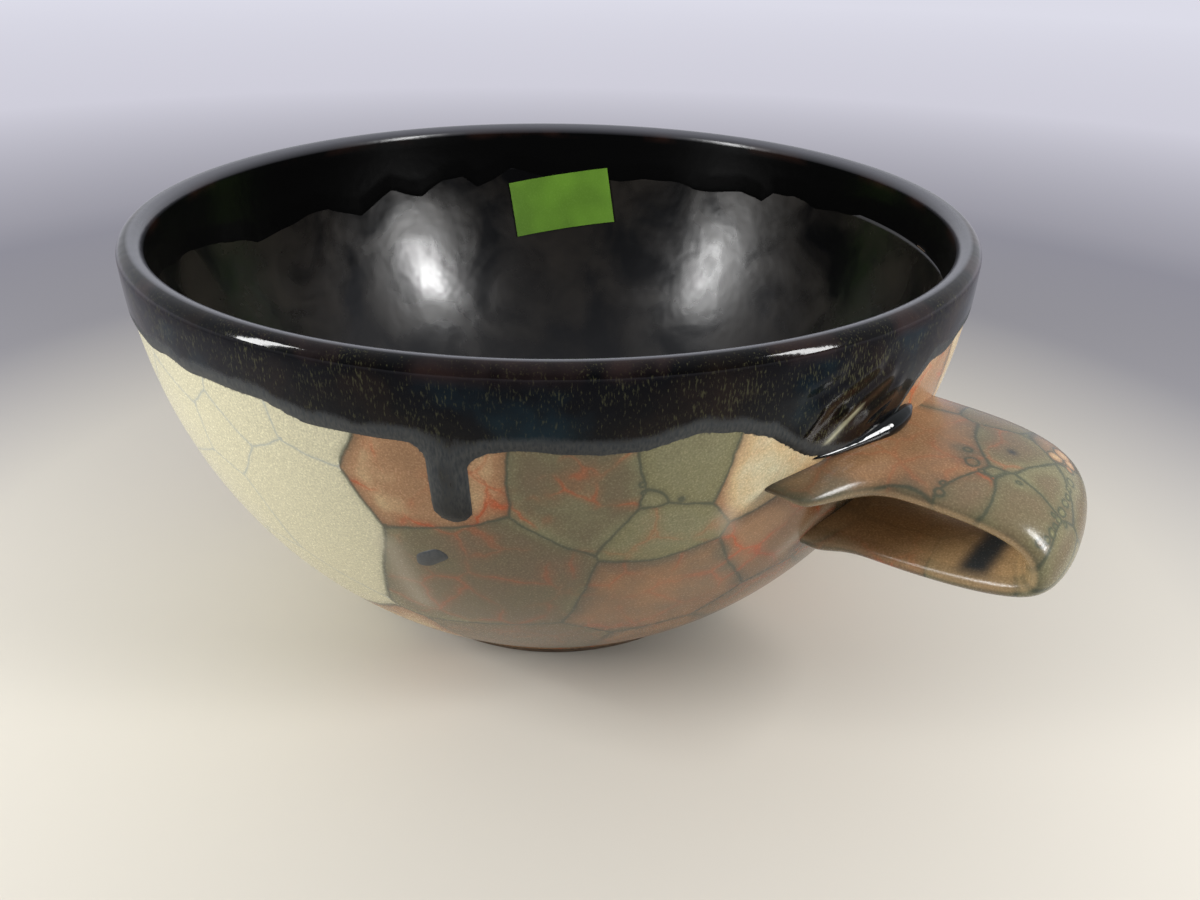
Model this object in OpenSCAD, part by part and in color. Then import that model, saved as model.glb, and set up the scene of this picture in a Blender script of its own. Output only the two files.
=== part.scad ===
// Lug soup bowl: a thrown stoneware bowl with one pulled strap handle, in glaze coats.
// The origin is the centre of the foot's resting plane, +Z is up and +X runs out along the handle.

/* [Bowl] */
// Radius of the bare clay wall where it stands upright, just under the lip
wall_r = 73.3; // [66:0.1:84]
// Height at which the wall's curve comes upright
upright_z = 71.8; // [66:0.1:80]
// Height of the upright stretch under the round of the lip
upright_h = 2; // [1:0.1:5]
// Thickness of the clay at the lip
lip_t = 2.5; // [2:0.1:3.5]
// Radius of the clay underside, where the wall meets the foot
base_r = 38.3; // [34:0.1:44]
// Thickness of the clay floor
floor_t = 5.7; // [4:0.1:8]
// How much further in the inner curve meets the floor than the outer curve meets the foot
corner_w = 2.3; // [1:0.1:5]
// Radius of the round between the floor and the wall, inside
floor_round_r = 30; // [20:0.5:34]

/* [Foot] */
// Height of the turned foot ring
foot_h = 3.8; // [2.5:0.1:6]
// How far the foot ring stands in from the edge of the underside
foot_step = 1.5; // [0.5:0.1:3]
// Width of the foot ring
foot_w = 6; // [4:0.1:10]
// Radius of the rounds along the foot ring's resting edges
foot_round_r = 0.8; // [0.4:0.1:1.4]

/* [Handle] */
// Distance from the bowl's axis to the middle of the strap at its nose
nose_reach = 96.5; // [92:0.1:106]
// Height of the middle of the strap at its nose
nose_z = 46.6; // [45:0.1:48]
// Height of the middle of the strap where its upper end meets the wall
upper_root_z = 54.2; // [52:0.1:56]
// Height of the middle of the strap where its lower end meets the wall
lower_root_z = 39; // [37.5:0.1:41]
// How far the upper end sits to the side of the handle's middle plane
upper_root_side = 1.8; // [0:0.1:4]
// How far the lower end sits to the other side of that plane
lower_root_side = 2; // [0:0.1:4]
// Thickness of the strap along its middle
strap_t = 6.1; // [5:0.1:7]
// Width of the strap between its upper end and its nose
strap_w = 30; // [24:0.5:34]
// Width of the strap at its nose
nose_w = 25; // [20:0.5:30]
// Width of the strap between its nose and its lower end
lower_strap_w = 26.5; // [20:0.5:34]
// Turn of the strap at its nose, which brings its right edge out
nose_turn = 9; // [0:1:15]
// Width that the strap's lower end gains on the wall, on each side
root_spread = 2.2; // [1:0.1:4]
// Width of the smeared tail on the right side of the upper end
tail_spread = 7.5; // [4:0.1:9]
// Depth of the luted joint between the wall and each end of the strap
joint_depth = 3; // [2:0.1:4]

/* [Glaze] */
// Thickness of each glaze coat
coat_t = 0.4; // [0.3:0.05:0.6]
// Height of the bare strip between the foot and the outer glaze
bare_strip_h = 0.7; // [0.3:0.1:2]
// How far the dark band comes down from the lip outside
band_drop = 8.8; // [6:0.1:12]
// How far the dark band comes down from the lip inside
inner_band_drop = 15.3; // [12:0.1:22]
// Width of the long run of glaze that hangs from the band
run_w = 4.8; // [3:0.1:8]
// How far that run hangs below the band
run_drop = 13; // [9:0.1:15]
// Angle of that run round the bowl from the handle
run_angle = -57; // [-70:1:-45]
// Width of the splash of dark glaze below the run
splash_w = 3.6; // [2.5:0.1:6]
// How far the splash's centre lies below the band
splash_drop = 21.3; // [19:0.1:27]
// Angle of the splash round the bowl from the handle
splash_angle = -61; // [-70:1:-45]
// Size of the glaze bead pooled in the crease over the handle
bead_t = 2.2; // [1.5:0.1:3]

/* [Label] */
// Width of the blank paper label inside the bowl
label_w = 25; // [15:0.5:35]
// Height of the label
label_h = 13; // [8:0.5:18]
// Thickness of the label with its adhesive
label_t = 0.3; // [0.2:0.05:0.5]
// How far the label's centre lies below the lip
label_drop = 16.3; // [13:0.1:24]
// Angle of the label round the bowl from the handle
label_angle = 133; // [115:1:150]
// Tilt of the label
label_tilt = -9; // [-20:1:20]

/* [Hidden] */
$fn = 96;
// Straight cuts run this far past the surfaces that they cut.
overrun = 2;

lip_z = upright_z + upright_h;
lip_r = wall_r - lip_t / 2;
inner_r = wall_r - lip_t;
floor_z = foot_h + floor_t;
band_z = lip_z - band_drop;
inner_band_z = lip_z - inner_band_drop;
run_z = band_z - run_drop;
splash_z = band_z - splash_drop;
label_z = lip_z - label_drop;
clear_z = lip_z + lip_t + 2 * coat_t + overrun;
clear_r = wall_r + 2 * coat_t + overrun;

// Radius of a circle that is upright at top_r and passes through foot_r, drop lower down.
function swing(top_r, foot_r, drop) = (pow(top_r - foot_r, 2) + pow(drop, 2)) / (2 * (top_r - foot_r));

outer_curve_r = swing(wall_r, base_r, upright_z - foot_h);
inner_curve_r = swing(inner_r, base_r - corner_w, upright_z - floor_z);
outer_centre = [wall_r - outer_curve_r, upright_z];
inner_centre = [inner_r - inner_curve_r, upright_z];
// The floor's round touches both the floor and the inner curve.
round_z = floor_z + floor_round_r;
round_r = inner_centre[0] + sqrt(pow(inner_curve_r - floor_round_r, 2) - pow(upright_z - round_z, 2));

// Radius of the wall's outer clay surface at a height
function wall_at(z) = outer_centre[0] + sqrt(pow(outer_curve_r, 2) - pow(upright_z - z, 2));

foot_r = base_r - foot_step;

// Everything inside the bowl's outer surface, grown outwards by coat, as half a section.
module outer_half(coat, from_z) {
    intersection() {
        translate([0, from_z]) square([clear_r, upright_z - from_z]);
        translate(outer_centre) circle(outer_curve_r + coat);
    }
    translate([0, upright_z]) square([wall_r + coat, upright_h]);
}

// The bowl's open space, drawn in by coat, as half a section.
module space_half(coat) {
    bed = floor_z + coat;
    rim = inner_r - coat;
    towards = ([round_r, round_z] - inner_centre) / (inner_curve_r - floor_round_r);
    intersection() {
        translate([0, bed]) square([clear_r, clear_z - bed]);
        union() {
            translate([round_r, round_z]) circle(floor_round_r - coat);
            intersection() {
                translate(inner_centre) circle(inner_curve_r - coat);
                polygon([inner_centre, inner_centre + 2 * inner_curve_r * towards,
                    inner_centre + [2 * inner_curve_r, 0]]);
            }
            polygon([[0, bed], [round_r, bed], [round_r, round_z], [rim, upright_z], [0, upright_z]]);
            translate([0, upright_z]) square([rim, clear_z - upright_z]);
        }
    }
}

// The round of the lip, grown by coat.
module lip_disc(coat) {
    translate([lip_r, lip_z]) circle(lip_t / 2 + coat);
}

// Whole section of the bowl from a height up, grown by coat on both faces.
module bowl_half(coat, from_z) {
    difference() {
        outer_half(coat, from_z);
        space_half(coat);
    }
    lip_disc(coat);
}

// The outer surface as a solid of revolution, which trims what is joined to the wall.
module outer_form(coat) {
    rotate_extrude() outer_half(coat, foot_h);
}

// The second coat, which lies over the first one outside, over the lip and inside.
module second_coat() {
    rotate_extrude() difference() {
        bowl_half(2 * coat_t, foot_h + floor_t);
        bowl_half(coat_t, foot_h);
    }
}

// A flat outline stood on the bowl's outer wall at an angle, reaching out from the axis.
module outward(angle, from_r, to_r) {
    rotate([0, 0, angle]) translate([from_r, 0, 0]) rotate([90, 0, 90])
        linear_extrude(to_r - from_r) children();
}

// The strap's middle line is two curves that meet upright at the nose.
upper_root = [wall_at(upper_root_z), upper_root_z];
lower_root = [wall_at(lower_root_z), lower_root_z];
nose = [nose_reach, nose_z];
// Shares of the handle's reach from the wall, and of its height, that pull the two curves.
upper_pull_share = 0.51;
upper_drop_share = 0.53;
lower_drop_share = 0.31;
lower_pull_share = 0.35;
reach = nose_reach - wall_at(upper_root_z);
loop_h = upper_root_z - lower_root_z;
upper_curve = [upper_root, upper_root + [upper_pull_share * reach, 0],
    nose + [0, upper_drop_share * loop_h], nose];
lower_curve = [nose, nose - [0, lower_drop_share * loop_h],
    lower_root + [lower_pull_share * reach, 0], lower_root];
function along(c, u) = pow(1 - u, 3) * c[0] + 3 * pow(1 - u, 2) * u * c[1]
    + 3 * (1 - u) * pow(u, 2) * c[2] + pow(u, 3) * c[3];
function heading(c, u) = pow(1 - u, 2) * (c[1] - c[0]) + 2 * (1 - u) * u * (c[2] - c[1])
    + pow(u, 2) * (c[3] - c[2]);

// Steps along each curve, and sides round the strap
curve_steps = 13;
strap_sides = 18;
// The ends start this far inside the wall's surface, and are trimmed by it.
bury = nose_w / 2;
// The spread at the ends dies away over this length.
spread_fade = 0.7 * strap_t;
// The power of the sines in the section: under 1, its edges are fuller than an ellipse's.
edge_power = 0.95;

// Each station is [middle, heading, sideways, spread over the upper end, spread over the lower end].
function fade(d) = d < 0 ? 1 : exp(-pow(d / spread_fade, 2));
function station(mid, dir, side, up, low) = [mid, dir / norm(dir), side, up, low];
function smooth(u) = u * u * (3 - 2 * u);
stations = concat(
    [station(upper_root - [bury, 0], [1, 0], -upper_root_side, 1, 0)],
    [for (i = [0:curve_steps]) let (u = i / curve_steps, p = along(upper_curve, u))
        station(p, heading(upper_curve, u), -upper_root_side * (1 - smooth(u)),
            fade(p[0] - upper_root[0]), 0)],
    [for (i = [1:curve_steps]) let (u = i / curve_steps, p = along(lower_curve, u))
        station(p, heading(lower_curve, u), lower_root_side * smooth(u),
            0, fade(p[0] - lower_root[0]))],
    [station(lower_root - [bury, 0], [-1, 0], lower_root_side, 0, 1)]);

// The strap narrows and turns towards its nose.
function nearness(s) = exp(-pow(norm(s[0] - nose) / (reach / 2), 2));
function plain_w(s) = s[0][1] < nose_z ? lower_strap_w : strap_w;
function half_width(s) = (plain_w(s) - (plain_w(s) - nose_w) * nearness(s)) / 2;
function power(x) = sign(x) * pow(abs(x), edge_power);
function ring(s, coat) = [for (k = [0:strap_sides - 1])
    let (turn = 360 * k / strap_sides, across = power(cos(turn)), up = power(sin(turn)),
        spread = s[4] * root_spread + (across < 0 ? s[3] * tail_spread : 0),
        reached = (half_width(s) + spread + coat) * across,
        thick = strap_t / 2 + s[4] * root_spread / 2 + coat,
        mid = s[0] + thick * up * [-s[1][1], s[1][0]])
    [mid[0] - reached * sin(nose_turn) * nearness(s), s[2] + reached, mid[1]]];

// Triangles along the sweep's side, for points that start at number first
last = len(stations) - 1;
function side_faces(first) = [for (i = [0:last - 1]) for (k = [0:strap_sides - 1])
    let (a = first + i * strap_sides + k, b = first + i * strap_sides + (k + 1) % strap_sides)
    each [[a, a + strap_sides, b], [b, a + strap_sides, b + strap_sides]]];
function turned(faces) = [for (f = faces) [f[0], f[2], f[1]]];

// The strap as one smooth sweep, grown by coat.
module strap_form(coat) {
    end_faces = [[for (k = [0:strap_sides - 1]) k],
        [for (k = [0:strap_sides - 1]) last * strap_sides + strap_sides - 1 - k]];
    polyhedron([for (s = stations) each ring(s, coat)], concat(side_faces(0), end_faces));
}

// The coat round the strap: an outer and an inner sweep, joined by a band at each end.
module strap_coat() {
    inner = (last + 1) * strap_sides;
    bands = [for (end = [0, last * strap_sides]) for (k = [0:strap_sides - 1])
        let (a = end + k, b = end + (k + 1) % strap_sides,
            pair = [[a, b, inner + a], [b, inner + b, inner + a]])
        each (end == 0 ? pair : turned(pair))];
    polyhedron([for (coat = [coat_t, 0]) for (s = stations) each ring(s, coat)],
        concat(side_faces(0), turned(side_faces(inner)), bands));
}

// The luted joint at one end of the strap, between the wall and the strap.
module joint(low_z, high_z) {
    intersection() {
        difference() {
            strap_form(0);
            outer_form(0);
        }
        rotate_extrude() intersection() {
            outer_half(joint_depth, foot_h);
            translate([0, low_z]) square([clear_r + joint_depth, high_z - low_z]);
        }
    }
}

module bowl_wall() {
    color("#6b5648") rotate_extrude() bowl_half(0, foot_h);
}

// What a rounded resting edge leaves away, for a corner at the origin
module edge_round() {
    difference() {
        translate([-overrun, -overrun]) square(overrun + foot_round_r);
        translate([foot_round_r, foot_round_r]) circle(foot_round_r);
    }
}

module foot_ring() {
    color("#5c4a3e") rotate_extrude() difference() {
        translate([foot_r - foot_w, 0]) square([foot_w, foot_h]);
        translate([foot_r - foot_w, 0]) edge_round();
        translate([foot_r, 0]) mirror([1, 0]) edge_round();
    }
}

module handle_strap() {
    color("#7a5a40") difference() {
        strap_form(0);
        outer_form(joint_depth);
    }
}

module upper_joint() {
    color("#6f5240") joint(nose_z, upright_z);
}

module lower_joint() {
    color("#6f5240") joint(foot_h, nose_z);
}

module liner_glaze() {
    color("#141416") rotate_extrude() difference() {
        union() {
            intersection() {
                space_half(0);
                square([clear_r, lip_z]);
            }
            intersection() {
                lip_disc(coat_t);
                translate([0, lip_z]) square([lip_r, lip_t]);
            }
        }
        space_half(coat_t);
        lip_disc(0);
    }
}

module body_glaze() {
    color("#9c8560") difference() {
        rotate_extrude() difference() {
            union() {
                outer_half(coat_t, foot_h + bare_strip_h);
                intersection() {
                    lip_disc(coat_t);
                    translate([lip_r, lip_z]) square(lip_t);
                }
            }
            outer_half(0, foot_h);
            lip_disc(0);
        }
        strap_form(0);
    }
}

// The long run that hangs from the band: a strip with a round end.
module run_outline() {
    translate([0, run_z + run_w / 2]) circle(run_w / 2);
    translate([-run_w / 2, run_z + run_w / 2]) square([run_w, band_z - run_z]);
}

module rim_glaze() {
    color("#1d2426") difference() {
        second_coat();
        // What was not dipped, outside and inside, but for the run
        difference() {
            cylinder(h = band_z, r = clear_r);
            outer_form(-lip_t / 2);
            outward(run_angle, 0, clear_r) run_outline();
        }
        intersection() {
            cylinder(h = inner_band_z, r = clear_r);
            outer_form(-lip_t / 2);
        }
    }
}

module glaze_splash() {
    color("#2c3a40") intersection() {
        second_coat();
        outward(splash_angle, wall_at(splash_z) - lip_t / 2, clear_r)
            translate([0, splash_z]) circle(splash_w / 2);
    }
}

module handle_glaze() {
    color("#a58a5c") difference() {
        strap_coat();
        outer_form(coat_t);
    }
}

module crease_glaze() {
    color("#14181a") difference() {
        intersection() {
            strap_form(bead_t);
            rotate_extrude() outer_half(bead_t, upper_root_z);
        }
        strap_form(coat_t);
        outer_form(2 * coat_t);
    }
}

module paper_label() {
    color("#6cc832") intersection() {
        rotate_extrude() difference() {
            space_half(2 * coat_t);
            space_half(2 * coat_t + label_t);
        }
        outward(label_angle, 0, clear_r) translate([0, label_z]) rotate(label_tilt)
            square([label_w, label_h], center = true);
    }
}

bowl_wall();
foot_ring();
handle_strap();
upper_joint();
lower_joint();
liner_glaze();
body_glaze();
rim_glaze();
glaze_splash();
handle_glaze();
crease_glaze();
paper_label();
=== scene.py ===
import math
import random

import bpy
import numpy as np
from mathutils import Matrix, Vector


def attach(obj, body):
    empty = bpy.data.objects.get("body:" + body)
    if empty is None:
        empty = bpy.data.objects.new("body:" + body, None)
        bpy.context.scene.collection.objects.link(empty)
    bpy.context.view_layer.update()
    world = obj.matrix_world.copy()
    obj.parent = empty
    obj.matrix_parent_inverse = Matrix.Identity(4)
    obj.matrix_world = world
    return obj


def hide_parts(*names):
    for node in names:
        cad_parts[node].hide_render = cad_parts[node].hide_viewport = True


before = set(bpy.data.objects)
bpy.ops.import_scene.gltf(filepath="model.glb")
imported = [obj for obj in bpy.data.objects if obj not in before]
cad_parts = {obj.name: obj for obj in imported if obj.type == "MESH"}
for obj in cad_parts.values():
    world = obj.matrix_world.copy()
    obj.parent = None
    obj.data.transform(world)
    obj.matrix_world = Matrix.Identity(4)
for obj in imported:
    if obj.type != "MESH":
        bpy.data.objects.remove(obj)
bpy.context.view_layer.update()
mm = 0.001

# The camera stands where the photograph was taken from: in front of the bowl and to the handle's
# right, looking down at about 29 degrees, with a wide lens.
eye = Vector((122.07, -126.41, 121.97)) * mm
ahead = Vector((-0.5738, 0.6568, -0.4892)).normalized()
camera_roll = math.radians(1.09)
across = ahead.cross(Vector((0, 0, 1))).normalized()
upward = across.cross(ahead)
frame_right = math.cos(camera_roll) * across + math.sin(camera_roll) * upward
frame_up = math.cos(camera_roll) * upward - math.sin(camera_roll) * across
bpy.ops.object.camera_add(location=eye)
camera = bpy.context.object
camera.rotation_euler = Matrix((frame_right, frame_up, -ahead)).transposed().to_euler()
camera.data.sensor_width = 36
camera.data.lens = 28.8
camera.data.clip_start = 0.01
bpy.context.scene.camera = camera
bpy.context.scene.view_settings.view_transform = "Standard"


# The table top is a plain pale sheet that runs far back, warm near the bowl and cooler far away.
# Two softboxes stand to the left and right of the camera, and the room gives a soft light that is
# paler behind the bowl than in front of it.
def linear(colour):
    """A colour written as sRGB hex, as the linear colour that a shader takes."""
    parts = [int(colour[i:i + 2], 16) / 255 for i in (1, 3, 5)]
    return [p / 12.92 if p <= 0.04045 else ((p + 0.055) / 1.055) ** 2.4 for p in parts] + [1]


def node(tree, kind, inputs, out=0, stops=None, **settings):
    """Adds one shader node with its settings, values and links, and gives one of its outputs."""
    made = tree.nodes.new("ShaderNode" + kind)
    for name, value in settings.items():
        setattr(made, name, value)
    for name, value in inputs.items():
        if isinstance(value, bpy.types.NodeSocket):
            tree.links.new(value, made.inputs[name])
        else:
            made.inputs[name].default_value = value
    if stops:
        ramp = made.color_ramp.elements
        while len(ramp) < len(stops):
            ramp.new(1)
        for element, (place, colour) in zip(ramp, stops):
            element.position = place
            element.color = linear(colour)
    return made.outputs[out]


def finish(name, **values):
    """Starts a material from plain values. Gives it, its tree, its shader and the Object place."""
    made = bpy.data.materials.new(name)
    made.use_nodes = True
    shader = made.node_tree.nodes["Principled BSDF"]
    for socket, value in values.items():
        shader.inputs[socket.replace("_", " ")].default_value = value
    return made, made.node_tree, shader, node(made.node_tree, "TexCoord", {}, out="Object")


def dress(piece, material):
    """Gives a piece one material all over."""
    piece.data.materials.clear()
    piece.data.materials.append(material)


# In metres: the sheet's side, how far its colour takes to cool, and where its shading fades out
sheet_w, cooling_and_shadow_reach, shaded_to, plain_from = 12, 1.5, 0.16, 0.34
sheet_drop = 0.02 * mm
bpy.ops.object.select_all(action="DESELECT")
bpy.ops.mesh.primitive_plane_add(size=sheet_w, location=(0, 0, -sheet_drop))
table_top = bpy.context.object
table_top.name = "table_top"
bpy.ops.object.transform_apply(location=True, rotation=True, scale=True)
table_paper, tree, shader, place = finish("matte_table_paper", Roughness=0.75,
                                          Specular_IOR_Level=0.2)
# The sheet goes from warm white by the bowl through a grey ring of painted shadow to pale lavender
# far off.
away = node(tree, "VectorMath", {0: place}, out="Value", operation="LENGTH")
cooled_and_shadow = node(tree, "MapRange", {"Value": away, "From Max": cooling_and_shadow_reach})
sheet = node(tree, "ValToRGB", {0: cooled_and_shadow},
             stops=[(0.085, "#d0cbc0"), (0.135, "#9d9b9f"), (0.2, "#93929c"),
                    (0.42, "#cfceda"), (1, "#dcdce8")])
tree.links.new(sheet, shader.inputs["Base Color"])
# Far from the bowl the sheet is seen in its plain colour, with no shading.
far_off = node(tree, "MapRange", {"Value": away, "From Min": shaded_to, "From Max": plain_from})
seen = node(tree, "LightPath", {}, out="Is Camera Ray")
for ray in ("Is Glossy Ray", "Is Transmission Ray"):
    seen = node(tree, "Math", {0: seen, 1: node(tree, "LightPath", {}, out=ray)},
                operation="MAXIMUM")
seen = node(tree, "Math", {0: seen, 1: far_off}, operation="MULTIPLY")
unshaded = node(tree, "Emission", {"Color": sheet})
tree.links.new(node(tree, "MixShader", {0: seen, 1: shader.outputs[0], 2: unshaded}),
               tree.nodes["Material Output"].inputs["Surface"])
dress(table_top, table_paper)

room = bpy.data.worlds.new("soft_room")
bpy.context.scene.world = room
room.use_nodes = True
tree, air = room.node_tree, room.node_tree.nodes["Background"]
air.inputs["Color"].default_value = linear("#e6e8f0")
# The room is pale behind the bowl, and dimmer on the camera's side.
behind_bowl, dim_room, pale_room = (-0.62, 0.70, 0.35), 0.16, 0.92
gaze = node(tree, "TexCoord", {}, out="Generated")
gaze = node(tree, "VectorMath", {0: gaze, 1: behind_bowl}, out="Value", operation="DOT_PRODUCT")
tree.links.new(node(tree, "MapRange", {"Value": gaze, "From Min": -0.7, "From Max": 0.8,
                                       "To Min": dim_room, "To Max": pale_room}),
               air.inputs["Strength"])

# Turn and rise of each softbox round the bowl in degrees. Both have one size, distance and power.
softboxes = {"left_softbox": (-114, 21), "right_softbox": (12, 25)}
softbox_w, softbox_h, softbox_distance, softbox_watts = 0.046, 0.16, 0.34, 0.88
aimed_at = Vector((0, 0, 0.05))
for name, (turn, rise) in softboxes.items():
    turn, rise = math.radians(turn), math.radians(rise)
    towards = Vector((math.cos(turn) * math.cos(rise), math.sin(turn) * math.cos(rise),
                      math.sin(rise)))
    bpy.ops.object.light_add(type="AREA", location=towards * softbox_distance + aimed_at)
    softbox = bpy.context.object
    softbox.name = name
    softbox.rotation_euler = towards.to_track_quat("Z", "Y").to_euler()
    softbox.data.shape = "RECTANGLE"
    softbox.data.size, softbox.data.size_y = softbox_w, softbox_h
    softbox.data.energy = softbox_watts
    softbox.visible_camera = False

# The clay: a thrown bowl, a turned foot ring and a pulled strap that was luted on. The stoneware
# is bare on the foot and the underside, and fired to a dark, dry taupe.
bare_clay, tree, shader, place = finish("bare_stoneware", Roughness=0.85, Specular_IOR_Level=0.3)
# Fireclay grit of about 0.5 mm, and toasting that drifts over 15 mm
grit = node(tree, "TexNoise", {"Vector": place, "Scale": 1 / (0.5 * mm), "Detail": 3})
toast = node(tree, "TexNoise", {"Vector": place, "Scale": 1 / (15 * mm), "Detail": 2})
clay = node(tree, "ValToRGB", {0: toast}, stops=[(0.35, "#5a4a3d"), (0.65, "#74624f")])
specks = node(tree, "MapRange", {"Value": grit, "From Min": 0.58, "From Max": 0.7})
tree.links.new(node(tree, "Mix", {0: specks, 6: clay, 7: linear("#3a2c24")}, out=2,
                    data_type="RGBA"), shader.inputs["Base Color"])
tree.links.new(node(tree, "Bump", {"Height": grit, "Strength": 0.5, "Distance": 0.15 * mm}),
               shader.inputs["Normal"])
for name in ("bowl_wall", "foot_ring", "handle_strap", "upper_joint", "lower_joint"):
    dress(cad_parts[name], bare_clay)

# The liner is a coat of black glaze, poured in and swirled round the inside of the bowl. It dried
# satin below the dark band, and a little uneven where it ran together.
lip_z = 73.8
lip_r = 72.05
lip_round_r = 1.25
wall_top = 71.8
outer_curve_r = 83.556
outer_curve_x = -10.256
inner_curve_r = 73.167
inner_curve_x = -2.367
floor_round_r = 30
floor_round_x = 26.26
floor_round_z = 39.5
# Sine of the turn at which the wall's curve runs into the floor's round
floor_bend_share = 0.7482
bend_steps, floor_steps = 16, 14


def inside(coat, from_z, steps):
    """The bowl's inner section, drawn in by a coat, from a height down to the axis."""
    low = math.asin(floor_bend_share)
    high = math.asin((wall_top - from_z) / (inner_curve_r - coat))
    turns = [high + (low - high) * i / steps for i in range(steps + 1)]
    curve = [(inner_curve_x + (inner_curve_r - coat) * math.cos(t),
              wall_top - (inner_curve_r - coat) * math.sin(t)) for t in turns]
    turns = [low + (math.pi / 2 - low) * i / bend_steps for i in range(1, bend_steps + 1)]
    bend = [(floor_round_x + (floor_round_r - coat) * math.cos(t),
             floor_round_z - (floor_round_r - coat) * math.sin(t)) for t in turns]
    floor_r, floor_z = bend[-1]
    return curve + bend + [(floor_r * (1 - i / floor_steps), floor_z)
                           for i in range(1, floor_steps + 1)]


def throw(name, section, sides):
    """Draws a section point by point, and turns it round the axis as on the wheel."""
    bpy.ops.object.select_all(action="DESELECT")
    bpy.ops.mesh.primitive_plane_add(size=mm)
    piece = bpy.context.object
    piece.name = name
    bpy.ops.object.mode_set(mode="EDIT")
    bpy.ops.mesh.merge(type="CENTER")
    bpy.ops.transform.translate(value=(section[0][0] * mm, 0, section[0][1] * mm))
    for (r0, z0), (r1, z1) in zip(section, section[1:]):
        bpy.ops.mesh.extrude_region_move(
            TRANSFORM_OT_translate={"value": ((r1 - r0) * mm, 0, (z1 - z0) * mm)})
    bpy.ops.mesh.select_all(action="SELECT")
    bpy.ops.mesh.spin(steps=sides, angle=2 * math.pi, center=(0, 0, 0), axis=(0, 0, 1))
    bpy.ops.mesh.select_all(action="SELECT")
    bpy.ops.mesh.remove_doubles(threshold=0.01 * mm)
    bpy.ops.mesh.normals_make_consistent(inside=False)
    bpy.ops.object.mode_set(mode="OBJECT")
    bpy.ops.object.shade_smooth()
    return piece


def points_of(piece):
    """A piece's points in millimetres."""
    points = np.empty(len(piece.data.vertices) * 3)
    piece.data.vertices.foreach_get("co", points)
    return points.reshape(-1, 3) / mm


def settle(piece, points):
    """Moves a piece's points to places given in millimetres."""
    piece.data.vertices.foreach_set("co", (points * mm).ravel())
    piece.data.update()


liner_t, liner_bed, liner_top, liner_sides = 0.4, 0.05, 66, 360
liner_face = inside(liner_t, liner_top, steps=70)
liner_back = inside(liner_bed, liner_top, steps=24)
liner = throw("liner_coat", liner_face + liner_back[::-1] + [liner_face[0]], liner_sides)

satin_black, tree, shader, place = finish("satin_black_glaze", IOR=1.5, Specular_IOR_Level=0.55)
# Clouds of finer and coarser crystals, about 14 mm across, make the satin uneven.
clouds = node(tree, "TexNoise", {"Vector": place, "Scale": 1 / (14 * mm), "Detail": 5,
                                 "Distortion": 0.6})
tree.links.new(node(tree, "MapRange", {"Value": clouds, "From Min": 0.35, "From Max": 0.65,
                                       "To Min": 0.18, "To Max": 0.33}),
               shader.inputs["Roughness"])
tree.links.new(node(tree, "ValToRGB", {0: clouds}, stops=[(0.38, "#050506"), (0.7, "#231e18")]),
               shader.inputs["Base Color"])
swell = node(tree, "TexNoise", {"Vector": place, "Scale": 1 / (7 * mm), "Detail": 2})
tree.links.new(node(tree, "Bump", {"Height": swell, "Strength": 0.6, "Distance": 0.22 * mm}),
               shader.inputs["Normal"])
dress(liner, satin_black)
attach(liner, "root")
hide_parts("liner_glaze")


# The dark band was dipped over the rim: a second, black glaze that ran a little at its lower edge
# and dragged one long drip down the front. Its edge is thin, rounded and matte.
def outer_r(z):
    """Radius of the bare wall outside at each height."""
    drop = wall_top - np.minimum(z, wall_top)
    return outer_curve_x + np.sqrt(outer_curve_r ** 2 - drop ** 2)


# What lies this close under the bare wall outside, or beyond it, counts as outside.
outer_skin = 1.2


def unrolled(points):
    """Angle round the bowl in degrees, radius and height of each point, and if it lies outside."""
    r, z = np.hypot(points[:, 0], points[:, 1]), points[:, 2]
    return (np.degrees(np.arctan2(points[:, 1], points[:, 0])), r, z,
            r > np.minimum(lip_r, outer_r(z) - outer_skin))


def outside(coat, from_z, to_z, steps):
    """The bowl's outer section, grown by a coat, from a height up to another."""
    low = math.asin((wall_top - from_z) / (outer_curve_r + coat))
    high = math.asin((wall_top - to_z) / (outer_curve_r + coat))
    turns = [low + (high - low) * i / steps for i in range(steps + 1)]
    return [(outer_curve_x + (outer_curve_r + coat) * math.cos(t),
             wall_top - (outer_curve_r + coat) * math.sin(t)) for t in turns]


# The lower edge outside as (angle, height) round the bowl, and the edge inside
band_edge = [(-180, 65.4), (-165, 66.3), (-150, 64.9), (-136, 65.8), (-124, 66.6), (-110, 65.2),
             (-97, 65.9), (-87, 66.4), (-82, 66.4), (-77.5, 66.1), (-72.5, 65.1), (-68, 64.6),
             (-61.5, 64.5), (-58, 64.0), (-54, 63.7), (-51.5, 64.1), (-47, 64.1), (-42, 63.6),
             (-37, 64.4), (-32, 65.4), (-28, 65.3), (-24, 63.4), (-21.3, 61.1), (-18.4, 58.4),
             (-15, 56.6), (-6, 57.0), (-3.3, 61.4), (-1.5, 63.6), (1.4, 65.4), (5, 65.7),
             (10, 66.1), (22, 65.2), (35, 66.5), (47, 65.6), (60, 64.4), (71, 65.3), (84, 66.2),
             (97, 65.1), (110, 65.9), (121, 64.6), (134, 65.7), (148, 66.5), (160, 65.2),
             (171, 64.7), (180, 65.4)]
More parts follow.
